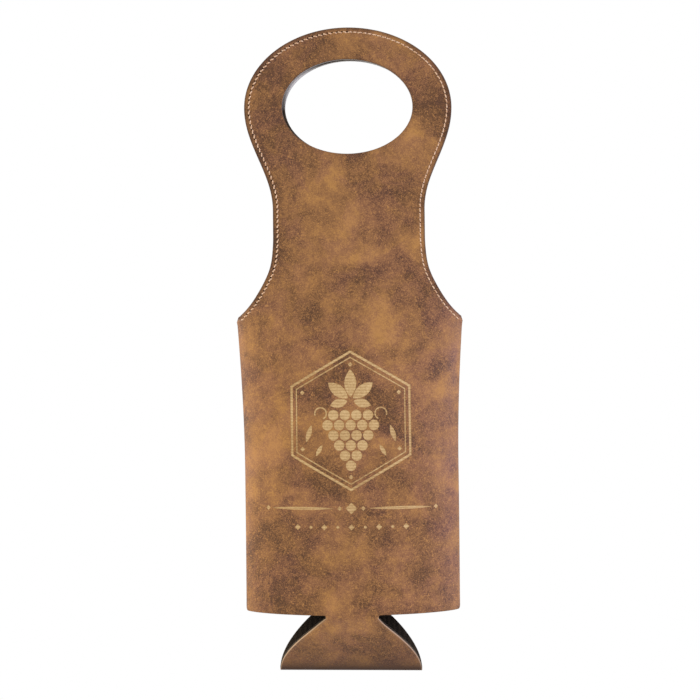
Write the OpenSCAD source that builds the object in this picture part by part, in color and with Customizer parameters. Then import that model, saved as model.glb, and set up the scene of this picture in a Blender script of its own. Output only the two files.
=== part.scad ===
// Bottle carrier of leatherette: a front and a back sheet, sewn together along both sides into a
// sleeve. Each sheet runs on upwards as a neck and a ring-shaped handle with a hand hole, and
// downwards as one half of a round base that hangs folded in a V under the sleeve.
// Origin: the centre of the hand hole. +Z is up, the front faces -Y.
// Heights named _h are measured upwards from the bottom edge of the sleeve.

/* [Sleeve] */
// Width between the side folds along the lower sleeve
sleeve_w = 132.5; // [115:0.5:150]
// Width between the side folds at the shoulder, where they end
shoulder_w = 140; // [120:0.5:160]
// Height of the shoulder above the bottom edge
shoulder_h = 182; // [150:1:230]
// Depth of the lower sleeve, from the front's middle to the back's
sleeve_depth = 50; // [40:1:62]
// Height at which the belly of the sleeve starts to fade
fade_from_h = 90; // [40:1:120]
// How round the sleeve is in plan: 1 is an ellipse, 2 has sharp sides
fullness = 1.24; // [1.1:0.02:1.8]

/* [Neck and handle] */
// Width of the neck at its narrowest
neck_w = 94.5; // [70:0.5:112]
// Rise from the shoulder to the narrowest place of the neck
neck_rise = 51.5; // [40:0.5:70]
// Length of the neck with straight edges
neck_straight = 16; // [8:1:40]
// Length over which the neck swells out into the ring
swell = 64; // [45:1:90]
// Width of the ring at the hand hole
ring_w = 129.5; // [118:0.5:138]
// Height of the crown, from the widest place of the ring to its top
crown = 50; // [42:1:60]
// Width of the hand hole
hole_w = 81.5; // [70:0.5:95]
// Height of the hand hole
hole_tall = 58; // [45:0.5:70]
// Clear space between the front and back handles at the hand hole
handle_gap = 1.8; // [1.2:0.1:6]
// Clear space between them along their edges
edge_gap = 1; // [0.6:0.1:1.2]

/* [Base] */
// Width of the base along its centre fold
base_w = 87.5; // [70:0.5:100]
// Width of the waist where the base leaves the sheet
waist_w = 33; // [20:0.5:45]
// Length of each half of the base, from its crease to the centre fold
base_l = 45.5; // [36:0.5:50]

/* [Layers] */
// Thickness of the leatherette
leather_t = 1.2; // [0.8:0.1:2]
// Thickness of the black lining
lining_t = 1.8; // [1:0.1:3]
// Thickness of the glue between them
glue_t = 0.1; // [0.05:0.05:0.3]

/* [Sewing] */
// Distance of the stitches from the open edge
stitch_inset = 3; // [2:0.25:6]
// Distance from one edge stitch to the next
stitch_pitch = 3.1; // [2.5:0.1:6]
// Length of thread that shows in each edge stitch
stitch_l = 2.2; // [1:0.1:2.3]
// Thickness of the edge thread
thread_d = 0.8; // [0.4:0.05:1.2]
// Distance from one side seam stitch to the next
seam_pitch = 4; // [3:0.1:8]
// Length of thread that shows in each side seam stitch
seam_l = 2.8; // [1:0.1:2.9]

/* [Clearances] */
// Space between two sheets that move against each other
sheet_gap = 0.3; // [0.3:0.05:0.6]
// Space between a stitch and the sheet that it lies on
thread_gap = 0.1; // [0.05:0.05:0.2]

/* [Hidden] */
sheet_t = leather_t + glue_t + lining_t;
neck_h = shoulder_h + neck_rise;
neck_top_h = neck_h + neck_straight;
ring_h = neck_top_h + swell;
panel_h = ring_h + crown;
fade_to_h = ring_h + crown / 3;
// Angle of the hanging base halves from the vertical, and how far their outside starts under the sleeve
base_tilt = asin(sleeve_depth / 2 / base_l);
crease_drop = sheet_t * sin(base_tilt) + sheet_gap;
// Half depths of the whole handle, in its middle and at its edges
handle_half = sheet_t + handle_gap / 2;
rim_half = sheet_t + edge_gap / 2;
// Radius of the concave edge between the shoulder and the neck
flank = (shoulder_w - neck_w) / 2;
flank_r = (flank * flank + neck_rise * neck_rise) / (2 * flank);
overrun = 20;
// Faces across a sheet, and rows of faces up the sleeve and up the handle
columns = 20;
sleeve_rows = 10;
handle_rows = 12;
edge_steps = 40;
crown_steps = 16;
base_steps = 12;
thread_fn = 16;
leather_colour = "#8F6444";
lining_colour = "#1B1713";
thread_colour = "#D9B48A";

// A step from 0 to 1 that starts and ends softly
function ease(v) = (1 - cos(180 * min(1, max(0, v)))) / 2;

// Half depth of the carrier on its centre line, at height h
function belly(h) = sleeve_depth / 2
    + (handle_half - sleeve_depth / 2) * ease((h - fade_from_h) / (fade_to_h - fade_from_h));

// Where the curve of a sheet would come to its side fold, at height h
function side_x(h) = sleeve_w / 2 + (shoulder_w - sleeve_w) / 2
    * (sleeve_depth / 2 - belly(h)) / (sleeve_depth / 2 - belly(shoulder_h));

// Half depth of the carrier at that place: nothing but the gap in the sleeve
function rim_y(h) = sheet_gap / 2
    + (rim_half - sheet_gap / 2) * ease((h - shoulder_h) / (ring_h - shoulder_h));

// Outside of the front sheet at a distance x from the centre line
function front_y(x, h) = -rim_y(h)
    - (belly(h) - rim_y(h)) * pow(max(0, 1 - pow(x / side_x(h), 2)), fullness / 2);

// The same by an angle a from 0 at the left side fold to 180 at the right one, d inside the sheet
function tangent(a, h) = [side_x(h) * sin(a),
    -(belly(h) - rim_y(h)) * fullness * pow(sin(a), fullness - 1) * cos(a)];
function inward(a, h) = a == 0 ? [1, 0] : a == 180 ? [-1, 0]
    : let(t = tangent(a, h)) [-t.y, t.x] / norm(t);
function sheet_point(a, h, d) = let(x = -side_x(h) * cos(a), n = inward(a, h))
    [x + d * n.x, front_y(x, h) + d * n.y, h - ring_h];

// Half width of the handle's and neck's outline at height h
function edge_x(h) =
    h < neck_h ? neck_w / 2 + flank_r - sqrt(flank_r * flank_r - pow(neck_h - h, 2))
    : neck_w / 2 + (ring_w - neck_w) / 2 * ease((h - neck_top_h) / swell);

// Right-hand edge from the shoulder to the top, as points [x, height]
edge = concat(
    [for (i = [0 : edge_steps - 1]) let(h = shoulder_h + (ring_h - shoulder_h) * i / edge_steps)
        [edge_x(h), h]],
    [for (i = [0 : crown_steps]) let(a = 90 * i / crown_steps)
        [ring_w / 2 * cos(a), ring_h + crown * sin(a)]]);

// The stitch line inside that edge, and how far along it each point lies
stitch_line = [for (i = [0 : len(edge) - 1])
    let(t = edge[min(i + 1, len(edge) - 1)] - edge[max(i - 1, 0)])
    edge[i] + stitch_inset * [-t.y, t.x] / norm(t)];
stitch_way = [for (i = 0, s = 0; i < len(edge);
    s = s + (i < len(edge) - 1 ? norm(stitch_line[i + 1] - stitch_line[i]) : 0), i = i + 1) s];
way_x = [for (i = [0 : len(edge) - 1]) [stitch_way[i], stitch_line[i].x]];
way_h = [for (i = [0 : len(edge) - 1]) [stitch_way[i], stitch_line[i].y]];
edge_stitches = floor((stitch_way[len(edge) - 1] - stitch_inset) / stitch_pitch);
side_stitches = floor((shoulder_h - seam_pitch) / seam_pitch);

// A thread end on the outside of the front sheet, s along the stitch line
function on_front(s) = let(x = lookup(s, way_x), h = lookup(s, way_h))
    [x, front_y(x, h) - thread_d / 2 - thread_gap, h - ring_h];

// Half width of the base, l below its crease
function base_x(l) = waist_w / 2 + (base_w - waist_w) / 2 * sin(90 * l / base_l);

// A layer of the front sheet from height h0 to h1, between depths d0 and d1 under its outside
module layer(h0, h1, rows, d0, d1) {
    across = columns + 1;
    inner = across * (rows + 1);
    points = [for (d = [d0, d1], j = [0 : rows], i = [0 : columns])
        sheet_point(180 * i / columns, h0 + (h1 - h0) * j / rows, d)];
    outside = [for (j = [0 : rows - 1], i = [0 : columns - 1]) let(p = j * across + i)
        [p, p + across, p + across + 1, p + 1]];
    inside = [for (q = outside) [q[3] + inner, q[2] + inner, q[1] + inner, q[0] + inner]];
    sides = [for (j = [0 : rows - 1]) let(p = j * across, q = p + columns)
        each [[p + across, p, p + inner, p + across + inner],
            [q, q + across, q + across + inner, q + inner]]];
    ends = [for (i = [0 : columns - 1]) let(p = rows * across + i)
        each [[i, i + 1, i + 1 + inner, i + inner], [p + 1, p, p + inner, p + 1 + inner]]];
    polyhedron(points, [for (q = concat(outside, inside, sides, ends))
        each [[q[0], q[1], q[2]], [q[0], q[2], q[3]]]]);
}

module handle_outline() {
    difference() {
        polygon(concat(edge, [for (i = [len(edge) - 1 : -1 : 0]) [-edge[i].x, edge[i].y]]));
        translate([0, ring_h]) scale([1, hole_tall / hole_w]) circle(d = hole_w, $fn = 64);
    }
}

module sleeve_layer(d0, d1) {
    layer(0, shoulder_h, sleeve_rows, d0, d1);
}

module handle_layer(d0, d1) {
    intersection() {
        layer(shoulder_h + sheet_gap, panel_h + crown / handle_rows, handle_rows, d0, d1);
        translate([0, 0, -ring_h]) rotate([90, 0, 0])
            linear_extrude(sleeve_depth + overrun, center = true) handle_outline();
    }
}

// One half of the base, hanging from the front crease inwards to the centre fold
module base_layer(d0, d1) {
    side = [for (i = [0 : base_steps]) let(l = base_l * i / base_steps) [base_x(l), -l]];
    difference() {
        translate([0, -sleeve_depth / 2, -ring_h - crease_drop]) rotate([base_tilt, 0, 0])
            translate([0, d1, 0]) rotate([90, 0, 0]) linear_extrude(d1 - d0)
                polygon(concat(side, [for (i = [base_steps : -1 : 0]) [-side[i].x, side[i].y]]));
        translate([-base_w, -sheet_gap / 2, -ring_h - crease_drop - base_l - overrun])
            cube([2 * base_w, overrun + base_l, base_l + 2 * overrun]);
    }
}

// A straight length of thread from p to q
module strand(p, q) {
    v = q - p;
    translate(p) rotate([0, acos(v.z / norm(v)), atan2(v.y, v.x)])
        cylinder(d = thread_d, h = norm(v), $fn = thread_fn);
}

module edge_stitching() {
    color(thread_colour) for (side = [0, 1]) mirror([side, 0, 0])
        for (i = [0 : edge_stitches - 1]) {
            s = stitch_inset + i * stitch_pitch;
            strand(on_front(s), on_front(s + stitch_l));
        }
}

// The thread inside the side fold that joins the front and back sheets
module side_seam() {
    inset = sheet_t + thread_gap + thread_d;
    color(thread_colour) for (i = [0 : side_stitches - 1]) {
        low = seam_pitch * (i + 1 / 2);
        high = low + seam_l;
        strand([side_x(low) - inset, 0, low - ring_h], [side_x(high) - inset, 0, high - ring_h]);
    }
}

module leather(part) {
    color(leather_colour)
        if (part == "sleeve") sleeve_layer(0, leather_t);
        else if (part == "handle") handle_layer(0, leather_t);
        else base_layer(0, leather_t);
}

module lining(part) {
    from = leather_t + glue_t;
    color(lining_colour)
        if (part == "sleeve") sleeve_layer(from, sheet_t);
        else if (part == "handle") handle_layer(from, sheet_t);
        else base_layer(from, sheet_t);
}

module front_leather_sleeve() { leather("sleeve"); }
module front_lining_sleeve() { lining("sleeve"); }
module front_leather_handle() { leather("handle"); }
module front_lining_handle() { lining("handle"); }
module front_edge_stitching() { edge_stitching(); }
module back_leather_sleeve() { mirror([0, 1, 0]) leather("sleeve"); }
module back_lining_sleeve() { mirror([0, 1, 0]) lining("sleeve"); }
module back_leather_handle() { mirror([0, 1, 0]) leather("handle"); }
module back_lining_handle() { mirror([0, 1, 0]) lining("handle"); }
module back_edge_stitching() { mirror([0, 1, 0]) edge_stitching(); }
module left_side_seam() { mirror([1, 0, 0]) side_seam(); }
module right_side_seam() { side_seam(); }
module base_front_leather() { leather("base"); }
module base_front_lining() { lining("base"); }
module base_back_leather() { mirror([0, 1, 0]) leather("base"); }
module base_back_lining() { mirror([0, 1, 0]) lining("base"); }

front_leather_sleeve();
front_lining_sleeve();
front_leather_handle();
front_lining_handle();
front_edge_stitching();
back_leather_sleeve();
back_lining_sleeve();
back_leather_handle();
back_lining_handle();
back_edge_stitching();
left_side_seam();
right_side_seam();
base_front_leather();
base_front_lining();
base_back_leather();
base_back_lining();
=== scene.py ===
# %% [markdown]
# # Bottle carrier of leatherette
# A soft sleeve for one bottle. Leatherette and a black lining are glued into one sheet, and one long blank
# of it makes the front handle, the front, the round base, the back and the back handle. This scene draws
# that blank flat, as a maker cuts it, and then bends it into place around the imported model.

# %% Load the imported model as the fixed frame
import math
from functools import partial

import bmesh
import bpy
import numpy as np
from mathutils import Matrix, Vector


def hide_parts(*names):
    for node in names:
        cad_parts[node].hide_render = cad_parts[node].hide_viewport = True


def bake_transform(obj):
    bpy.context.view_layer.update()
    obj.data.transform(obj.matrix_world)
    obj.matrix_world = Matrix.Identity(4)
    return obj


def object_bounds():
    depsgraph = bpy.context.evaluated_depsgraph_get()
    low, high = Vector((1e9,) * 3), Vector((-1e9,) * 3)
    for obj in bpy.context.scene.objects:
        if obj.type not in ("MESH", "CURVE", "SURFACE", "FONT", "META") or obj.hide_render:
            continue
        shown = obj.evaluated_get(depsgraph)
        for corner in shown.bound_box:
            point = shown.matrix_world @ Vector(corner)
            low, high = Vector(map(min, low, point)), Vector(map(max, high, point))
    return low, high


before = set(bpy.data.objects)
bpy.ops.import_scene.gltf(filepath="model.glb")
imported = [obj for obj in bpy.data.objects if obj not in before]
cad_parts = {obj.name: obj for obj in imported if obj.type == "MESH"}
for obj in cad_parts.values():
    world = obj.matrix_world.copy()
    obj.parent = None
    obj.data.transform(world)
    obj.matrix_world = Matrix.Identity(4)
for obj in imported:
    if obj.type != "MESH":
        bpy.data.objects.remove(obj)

bpy.context.view_layer.update()
cad_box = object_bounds()

print("nodes in the frame:", len(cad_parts))

# %% [markdown]
# ## The sizes
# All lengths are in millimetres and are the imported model's own. Heights are measured up from the bottom
# edge of the sleeve. Only the last step turns millimetres into Blender's metres.

# %% Sizes of the carrier
MM = 0.001
sleeve_w, shoulder_w, shoulder_h, sleeve_depth = 132.5, 140, 182, 50
fade_from_h, fullness = 90, 1.24
neck_w, neck_rise, neck_straight, swell = 94.5, 51.5, 16, 64
neck_slim, slim_h, slim_run = 0.8, 213, 10
ring_w, crown, hole_w, hole_tall, hole_lift = 129.5, 50, 81.5, 59.2, 0.6
base_w, waist_w, base_l = 87.5, 33, 45.5
leather_t, glue_t, lining_t, sheet_gap = 1.2, 0.1, 1.8, 0.3
handle_gap, edge_gap = 1.8, 1
sheet_t = leather_t + glue_t + lining_t
sleeve_half = sleeve_depth / 2
neck_h = shoulder_h + neck_rise
neck_top_h = neck_h + neck_straight
ring_h = neck_top_h + swell
panel_h = ring_h + crown
fade_to_h = ring_h + crown / 3
handle_half = sheet_t + handle_gap / 2
rim_half = sheet_t + edge_gap / 2
flank = (shoulder_w - neck_w) / 2
flank_r = (flank**2 + neck_rise**2) / (2 * flank)
low, high = cad_box
print("the sleeve's bottom edge lies at z =", round(-ring_h * MM, 4), "and the model's box from",
      [round(c, 4) for c in low], "to", [round(c, 4) for c in high])

# %% [markdown]
# ## The curve of a sheet
# Cut level at any height, the sheet is a soft arc from the middle of the front to the side fold: deep and
# round in the sleeve, nearly flat in the handle. A formula gives that arc. Leatherette bends but does not
# stretch, so a place on the flat blank is found on the arc by its length along it, and a table of such
# lengths at each height does that quickly. Its stations crowd towards the side fold, where it turns most.

# %% The section of the sheet at each height
def ease(v):
    """A step from 0 to 1 that starts and ends softly."""
    return (1 - np.cos(np.pi * np.clip(v, 0, 1))) / 2


def bell(v, width):
    """A soft bump: 1 at v = 0, and nearly nothing from twice the width on."""
    return np.exp(-((v / width) ** 2))


def belly(h):
    """Distance of the sheet's middle from the plane between front and back."""
    return sleeve_half + (handle_half - sleeve_half) * ease((h - fade_from_h) / (fade_to_h - fade_from_h))


def side_x(h):
    """Half width of the sleeve, out to the side fold."""
    flare_out = (shoulder_w - sleeve_w) / 2 * (sleeve_half - belly(h)) / (sleeve_half - belly(shoulder_h))
    return sleeve_w / 2 + flare_out


def rim_y(h):
    """Distance of the sheet's edge from the plane between front and back."""
    return sheet_gap / 2 + (rim_half - sheet_gap / 2) * ease((h - shoulder_h) / (ring_h - shoulder_h))


def edge_x(h):
    """Half width of the neck and the handle."""
    concave = neck_w / 2 + flank_r - np.sqrt(np.maximum(0, flank_r**2 - (neck_h - h) ** 2))
    concave = concave - neck_slim * bell(h - slim_h, slim_run)
    return np.where(h < neck_h, concave, neck_w / 2 + (ring_w - neck_w) / 2 * ease((h - neck_top_h) / swell))


STATIONS, CROWDING, FINE_STEPS = 241, 1.7, 4001
SHARE = 1 - (1 - np.linspace(0, 1, STATIONS)) ** CROWDING
LEVELS = np.arange(0, math.ceil(panel_h) + 2, dtype=float)


def section(h):
    """At one height: the arc's length, and x, y and the inward normal at each station from middle to side."""
    turn = np.pi / 2 * (1 - (1 - np.linspace(0, 1, FINE_STEPS)) ** 2)
    deep = belly(h) - rim_y(h)
    x, y = side_x(h) * np.sin(turn), -rim_y(h) - deep * np.cos(turn) ** fullness
    way = np.concatenate([[0], np.cumsum(np.hypot(np.diff(x), np.diff(y)))])
    stations = SHARE * way[-1]
    at = np.interp(stations, way, turn)
    tx = side_x(h) * np.cos(at)
    ty = deep * fullness * np.maximum(np.cos(at), 1e-9) ** (fullness - 1) * np.sin(at)
    tx[-1], ty[-1] = 0, 1
    size = np.hypot(tx, ty)
    x, y = np.interp(stations, way, x), np.interp(stations, way, y)
    return way[-1], np.stack([x, y, -ty / size, tx / size])


sections = [section(h) for h in LEVELS]
HALF = np.array([s[0] for s in sections])
TABLE = np.stack([s[1] for s in sections])


def half_length(h):
    """Length of the arc from the middle to the side fold."""
    return np.interp(h, LEVELS, HALF)


def look_up(u, h):
    """x, y and the inward normal at a length u from the middle."""
    share = np.clip(u / half_length(h), 0, 1)
    across = (1 - (1 - share) ** (1 / CROWDING)) * (STATIONS - 1)
    j = np.minimum(across.astype(int), STATIONS - 2)
    up = np.clip(h, 0, LEVELS[-1] - 1e-6)
    i = up.astype(int)
    a, b = across - j, up - i
    below, above = (TABLE[row, :, j].T * (1 - a) + TABLE[row, :, j + 1].T * a for row in (i, i + 1))
    return below * (1 - b) + above * b


def length_at(x, h):
    """The length along the arc at a distance x from the middle."""
    length, stations = section(h)
    return float(np.interp(x, stations[0], SHARE * length))


print("half of the sheet measures", round(HALF[0], 2), "mm at the bottom and",
      round(half_length(shoulder_h), 2), "at the shoulder")

# %% [markdown]
# ## From the flat blank to the bag
# Below the sleeve the sheet turns in, runs slanting down as one half of the base, and turns round the
# centre fold into the other half. A real bend is a small arc and not a corner, so both bends have a radius.
# Past the fold the same strip goes on as the back. The strip's own measure v runs from the top of the
# front handle, through 0 at the sleeve's bottom edge, down to the top of the back handle.
#
# A real bag also hangs a little unevenly. Soft low waves cross the sleeve, which sways and is fuller at its
# edges, with rounded corners at the shoulder. The back hand hole lies a little off the front one. The base
# hangs with its back half wider than its front half, because it is folded a little off its middle.

# %% Bend a place of the blank into the bag
tilt = math.asin(sleeve_half / base_l)
crease_drop = sheet_t * math.sin(tilt) + sheet_gap
crease_r, fold_r = 5.0, 2.2
crease_cut, fold_cut = crease_r * math.tan(tilt / 2), fold_r * math.tan(math.pi / 2 - tilt)
run = [crease_drop - crease_cut, crease_r * tilt]
run += [base_l - crease_cut - fold_cut, fold_r * (math.pi / 2 - tilt)]
TO_FOLD = sum(run)
# How unevenly it hangs: each amount comes before the heights and lengths over which it fades.
wave_rise, wave_h, wave_u, wave_from, wave_to_h, wave_fade = 0.3, 78.0, 105, 30, 215, 75
ripple, ripple_h, ripple_u, back_phase = 0.7, 150, 62.0, 1.3
side_full, full_to_h, full_fade = 0.65, 192, 9
side_sway, sway_to_h, sway_fade = 0.7, 190, 150
corner_full, corner_fade, tip_trim, tip_fade = 0.5, 2.5, 0.9, 0.9
handle_slip, hole_slip, slip_fade, hole_mean_r, front_slip = 0.25, 1.1, 9, 35, 0.3
base_front_slim, base_back_full, flank_at = 0.057, 0.075, 8
base_shift, shift_run, base_spread, spread_run, fold_lean = -0.9, 8, 0.012, 40, 0.012
flatten_run, least_half = 12, 0.02


def height_of(v):
    """The height of a place, counted up from the sleeve's bottom edge on the back too."""
    return np.where(v < -TO_FOLD, -2 * TO_FOLD - v, v)


def slant_path(t):
    """Below the sleeve, t along the outside: y, z and the sheet's angle from the vertical."""
    at_crease_arc, at_slant, at_fold_arc = np.cumsum(run)[:3]
    arc = np.clip(t - at_crease_arc, 0, run[1]) / crease_r
    slant = np.clip(t - at_slant, 0, run[2])
    bend = np.clip(t - at_fold_arc, 0, run[3]) / fold_r
    y = -sleeve_half + crease_r * (1 - np.cos(arc)) + slant * math.sin(tilt)
    z = -np.clip(t, 0, at_crease_arc) - crease_r * np.sin(arc) - slant * math.cos(tilt)
    y = y + fold_r * (math.cos(tilt) - np.cos(tilt + bend))
    z = z - fold_r * (np.sin(tilt + bend) - math.sin(tilt))
    return y, z, arc + bend


def on_sheet(u, v, depth):
    """Where a place of the blank lies in the bag, depth mm under the outside, in mm."""
    u, v, depth = np.broadcast_arrays(*(np.asarray(a, float) for a in (u, v, depth)))
    back, h = v < -TO_FOLD, height_of(v)
    up, t = np.maximum(h, 0), np.maximum(-h, 0)
    side, half = np.sign(u), np.abs(u)
    x, y, nx, ny = look_up(half, up)
    share = half / half_length(up)
    phase = np.where(back, back_phase, 0.0)
    wave = np.sin(2 * np.pi * up / wave_h + phase) * np.cos(np.pi * u / wave_u + phase)
    wave = wave + ripple * np.sin(2 * np.pi * (u / ripple_u + up / ripple_h) + 2 * phase)
    wave = wave * wave_rise * np.clip(1 - share**5, 0, 1) * ease(up / wave_from)
    wave = wave * (1 - ease((up - wave_to_h) / wave_fade))
    x, y = x + nx * (depth - wave), y + ny * (depth - wave)
    py, pz, angle = slant_path(t)
    level = ease(t / flatten_run)
    over = up - shoulder_h
    corner = corner_full * bell(over, corner_fade) - tip_trim * share**6 * bell(over, tip_fade)
    x = x + share**3 * (side_full * ease((full_to_h - up) / full_fade) + corner) * (t == 0)
    x = x * (1 - level) + half * level
    flank_bump = t / flank_at * np.exp(1 - t / flank_at)
    wider = np.where(back, base_back_full, -base_front_slim)
    x = x * (1 + wider * flank_bump + base_spread * ease(t / spread_run))
    inner = y - (depth - sleeve_half)
    py = py + depth * np.cos(angle) + inner * (1 - level)
    pz = pz + depth * np.sin(angle)
    py = np.where(t > 0, np.minimum(py, -least_half), y)
    z = np.where(t > 0, pz - side * x * fold_lean * ease(t / TO_FOLD), up) - ring_h
    hole_x, hole_z = u / (hole_w / 2), (up - ring_h - hole_lift) / (hole_tall / 2)
    off_hole = (np.hypot(hole_x, hole_z) - 1) * hole_mean_r
    slip = handle_slip * ease(over / (ring_h - shoulder_h)) + hole_slip * bell(off_hole, slip_fade)
    sway = side_sway * share * ease((sway_to_h - up) / sway_fade) * (t == 0)
    sway = sway + base_shift * ease(t / shift_run)
    x = side * x + np.where(back, slip, -slip * front_slip) + sway
    return np.stack([x, np.where(back, -py, py), z], axis=-1)


def outward(u, v, depth, step=0.05):
    """The sheet's own normal, found from places close by."""
    across = on_sheet(u + step, v, depth) - on_sheet(u - step, v, depth)
    along = on_sheet(u, v + step, depth) - on_sheet(u, v - step, depth)
    n = np.cross(across, along)
    return n / np.linalg.norm(n, axis=-1, keepdims=True)


def crease_bow(u):
    """How much nearer to the bag's middle the crease lies there than at its own middle, in mm."""
    return on_sheet(u, 0, 0)[..., 1] - on_sheet(0, 0, 0)[1]


print("from the sleeve to the centre fold the strip measures", round(TO_FOLD, 2), "mm")
print("the crease bows by", round(float(crease_bow(waist_w / 2)), 2), "mm")
print("lowest place of the fold: z =", round(float(on_sheet(0, -TO_FOLD + 1e-4, 0)[2]), 2), "mm")

# %% [markdown]
# ## The blank's outline
# The cutting line is walked once down the right side: over the crown of the handle, in to the neck, out
# to the shoulder, down the side fold, along the bottom edge, into the waist and down the flare of the base.
# It is a row of points, because the same row is used again for the stitching and for the edges darkened by
# wear and painted shade.

# %% Walk round the right half of the front
def spread(a, b, step):
    """Values from a towards b, about one step apart, without b."""
    return np.linspace(a, b, max(2, round(abs(b - a) / step)) + 1)[:-1]


def flare(t):
    """Half width of the base, t below the sleeve."""
    turn = math.pi / 2 * max(0, t - at_crease) / (TO_FOLD - at_crease)
    return waist_w / 2 + (base_w - waist_w) / 2 * math.sin(turn)


corner_r, notch_r, at_crease, least_lean = 3.0, 0.7, 2.0, 0.6
waist, foot = waist_w / 2, half_length(0)
crown_turn, corner_turn = np.radians(spread(90, 0, 2.2)), np.radians(spread(0, 90, 15))
crown_part = [(ring_w / 2 * math.cos(a), ring_h + crown * math.sin(a)) for a in crown_turn]
neck_part = [(float(edge_x(h)), h) for h in spread(ring_h, shoulder_h, 1.9)]
open_part = [(length_at(x, min(h, LEVELS[-1])), h) for x, h in crown_part + neck_part]
side_part = [(float(half_length(h)), h) for h in spread(shoulder_h, corner_r, 3.0)]
foot_part = [(foot - corner_r * (1 - math.cos(a)), corner_r * (1 - math.sin(a))) for a in corner_turn]
bottom_part = [(u, 0.0) for u in spread(foot - corner_r, waist + notch_r, 4.0)]
notch_part = [(waist + notch_r * (1 - math.sin(a)), -notch_r * (1 - math.cos(a))) for a in corner_turn]
flare_part = [(flare(t), -t) for t in spread(notch_r, TO_FOLD, 1.5)] + [(flare(TO_FOLD), -TO_FOLD)]
WALK = np.array(open_part + side_part + foot_part + bottom_part + notch_part + flare_part)
SEWN_END = len(open_part)
SIDE_END = len(open_part + side_part) - 1


def inward_of(path):
    """Mitred normals of a row of points, to the right of the way."""
    step = np.diff(path, axis=0)
    step /= np.linalg.norm(step, axis=1, keepdims=True)
    n = np.stack([step[:, 1], -step[:, 0]], axis=1)
    both = np.vstack([n[:1], n[:-1] + n[1:], n[-1:]])
    both /= np.linalg.norm(both, axis=1, keepdims=True)
    lean = np.sum(both * np.vstack([n[:1], n]), axis=1)
    return both / np.maximum(least_lean, lean)[:, None]


WALK_IN = inward_of(WALK)
WALK_IN[0], WALK_IN[-1] = (0, -1), (-1, 0)
hole_turn = np.radians(np.linspace(90, -90, 61))
hole_cos, hole_sin = np.cos(hole_turn), np.sin(hole_turn)
HOLE = np.stack([hole_w / 2 * hole_cos, ring_h + hole_lift + hole_tall / 2 * hole_sin], axis=1)
HOLE_IN = np.stack([hole_cos / (hole_w / 2), hole_sin / (hole_tall / 2)], axis=1)
HOLE_IN /= np.linalg.norm(HOLE_IN, axis=1, keepdims=True)
print("points round half of the blank:", len(WALK), "and round half of the hand hole:", len(HOLE))

# %% [markdown]
# ## The blank as a mesh
# A mesh of the blank could be made by filling the outline, but a filled outline has no rows of faces along
# its edge, where the leather is rounded and sewn. So the outline's edges are extruded inwards a few times,
# which lays those rows, and only the middle is filled. Then straight cuts with bisect_plane lay an even
# grid, fine enough to bend, with a cut exactly where each piece ends.

# %% Lay the edge rows and fill the middle
near_rows = (0.12, 0.3, 0.6)
deep_rows = (1.2, 1.9, 2.4, 2.7, 3.0, 3.3, 3.6, 4.1, 4.8)
HOLE_MARK = 10000


def draw_line(bm, path, first):
    """A row of points joined by edges, each point marked with its number."""
    row = [bm.verts.new((*p, 0)) for p in path]
    for k, p in enumerate(row):
        p[marks], p.tag = first + k, True
    for pair in zip(row, row[1:]):
        bm.edges.new(pair)


def lay_rows(bm, path, normals, rows, first, last):
    """Extrude a run of edges inwards, row by row. Returns the inner run and the end line at last."""
    run_edges = [e for e in bm.edges if e.is_boundary or e.is_wire]
    run_edges = [e for e in run_edges if all(first <= v[marks] <= last and v.tag for v in e.verts)]
    ends = []
    for away in rows:
        made = bmesh.ops.extrude_edge_only(bm, edges=run_edges)["geom"]
        new = [g for g in made if isinstance(g, bmesh.types.BMVert)]
        for g in bm.verts:
            g.tag = False
        for g in new:
            k = g[marks] - first
            g.co = Vector((*(path[k] + normals[k] * away), 0))
            g.tag = True
        links = list(dict.fromkeys(e for g in new for e in g.link_edges))
        run_edges = [e for e in links if all(v.tag for v in e.verts)]
        ends += [e for e in links if e not in run_edges and all(v[marks] == last for v in e.verts)]
    return run_edges, ends


bm = bmesh.new()
marks = bm.verts.layers.int.new("place")
draw_line(bm, WALK, 0)
outer_run, _ = lay_rows(bm, WALK, WALK_IN, near_rows, 0, len(WALK) - 1)
inner_run, end_line = lay_rows(bm, WALK, WALK_IN, deep_rows, 0, SIDE_END)
outer_run = [e for e in outer_run if e.is_boundary and max(v[marks] for v in e.verts) > SIDE_END]
for v in bm.verts:
    v.tag = False
draw_line(bm, HOLE, HOLE_MARK)
hole_run, _ = lay_rows(bm, HOLE, HOLE_IN, near_rows, HOLE_MARK, HOLE_MARK + len(HOLE) - 1)


def at_place(place, x, y):
    """The vertex with that mark nearest a point."""
    return min((v for v in bm.verts if v[marks] == place), key=lambda v: (v.co - Vector((x, y, 0))).length)


crown_in = at_place(0, 0, panel_h - deep_rows[-1])
fold_in = at_place(len(WALK) - 1, WALK[-1][0] - near_rows[-1], -TO_FOLD)
hole_top = at_place(HOLE_MARK, 0, HOLE[0][1] + near_rows[-1])
hole_low = at_place(HOLE_MARK + len(HOLE) - 1, 0, HOLE[-1][1] - near_rows[-1])
fold_mid = bm.verts.new((0, -TO_FOLD, 0))
closing = [bm.edges.new(p) for p in ((fold_in, fold_mid), (fold_mid, hole_low), (hole_top, crown_in))]
bmesh.ops.edgeloop_fill(bm, edges=inner_run + end_line + outer_run + hole_run + closing)
print("faces before the grid:", len(bm.faces), "largest has", max(len(f.verts) for f in bm.faces), "corners")

# %% [markdown]
# The side folds bend in another way than the panels when the sleeve opens, so they are pieces of their
# own. The line between them is no straight line on the blank. It follows one depth of the bag, and each
# level of the grid gets its own short slanting cut. Half of the front is then mirrored twice: across the
# middle, and over the centre fold.

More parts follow.
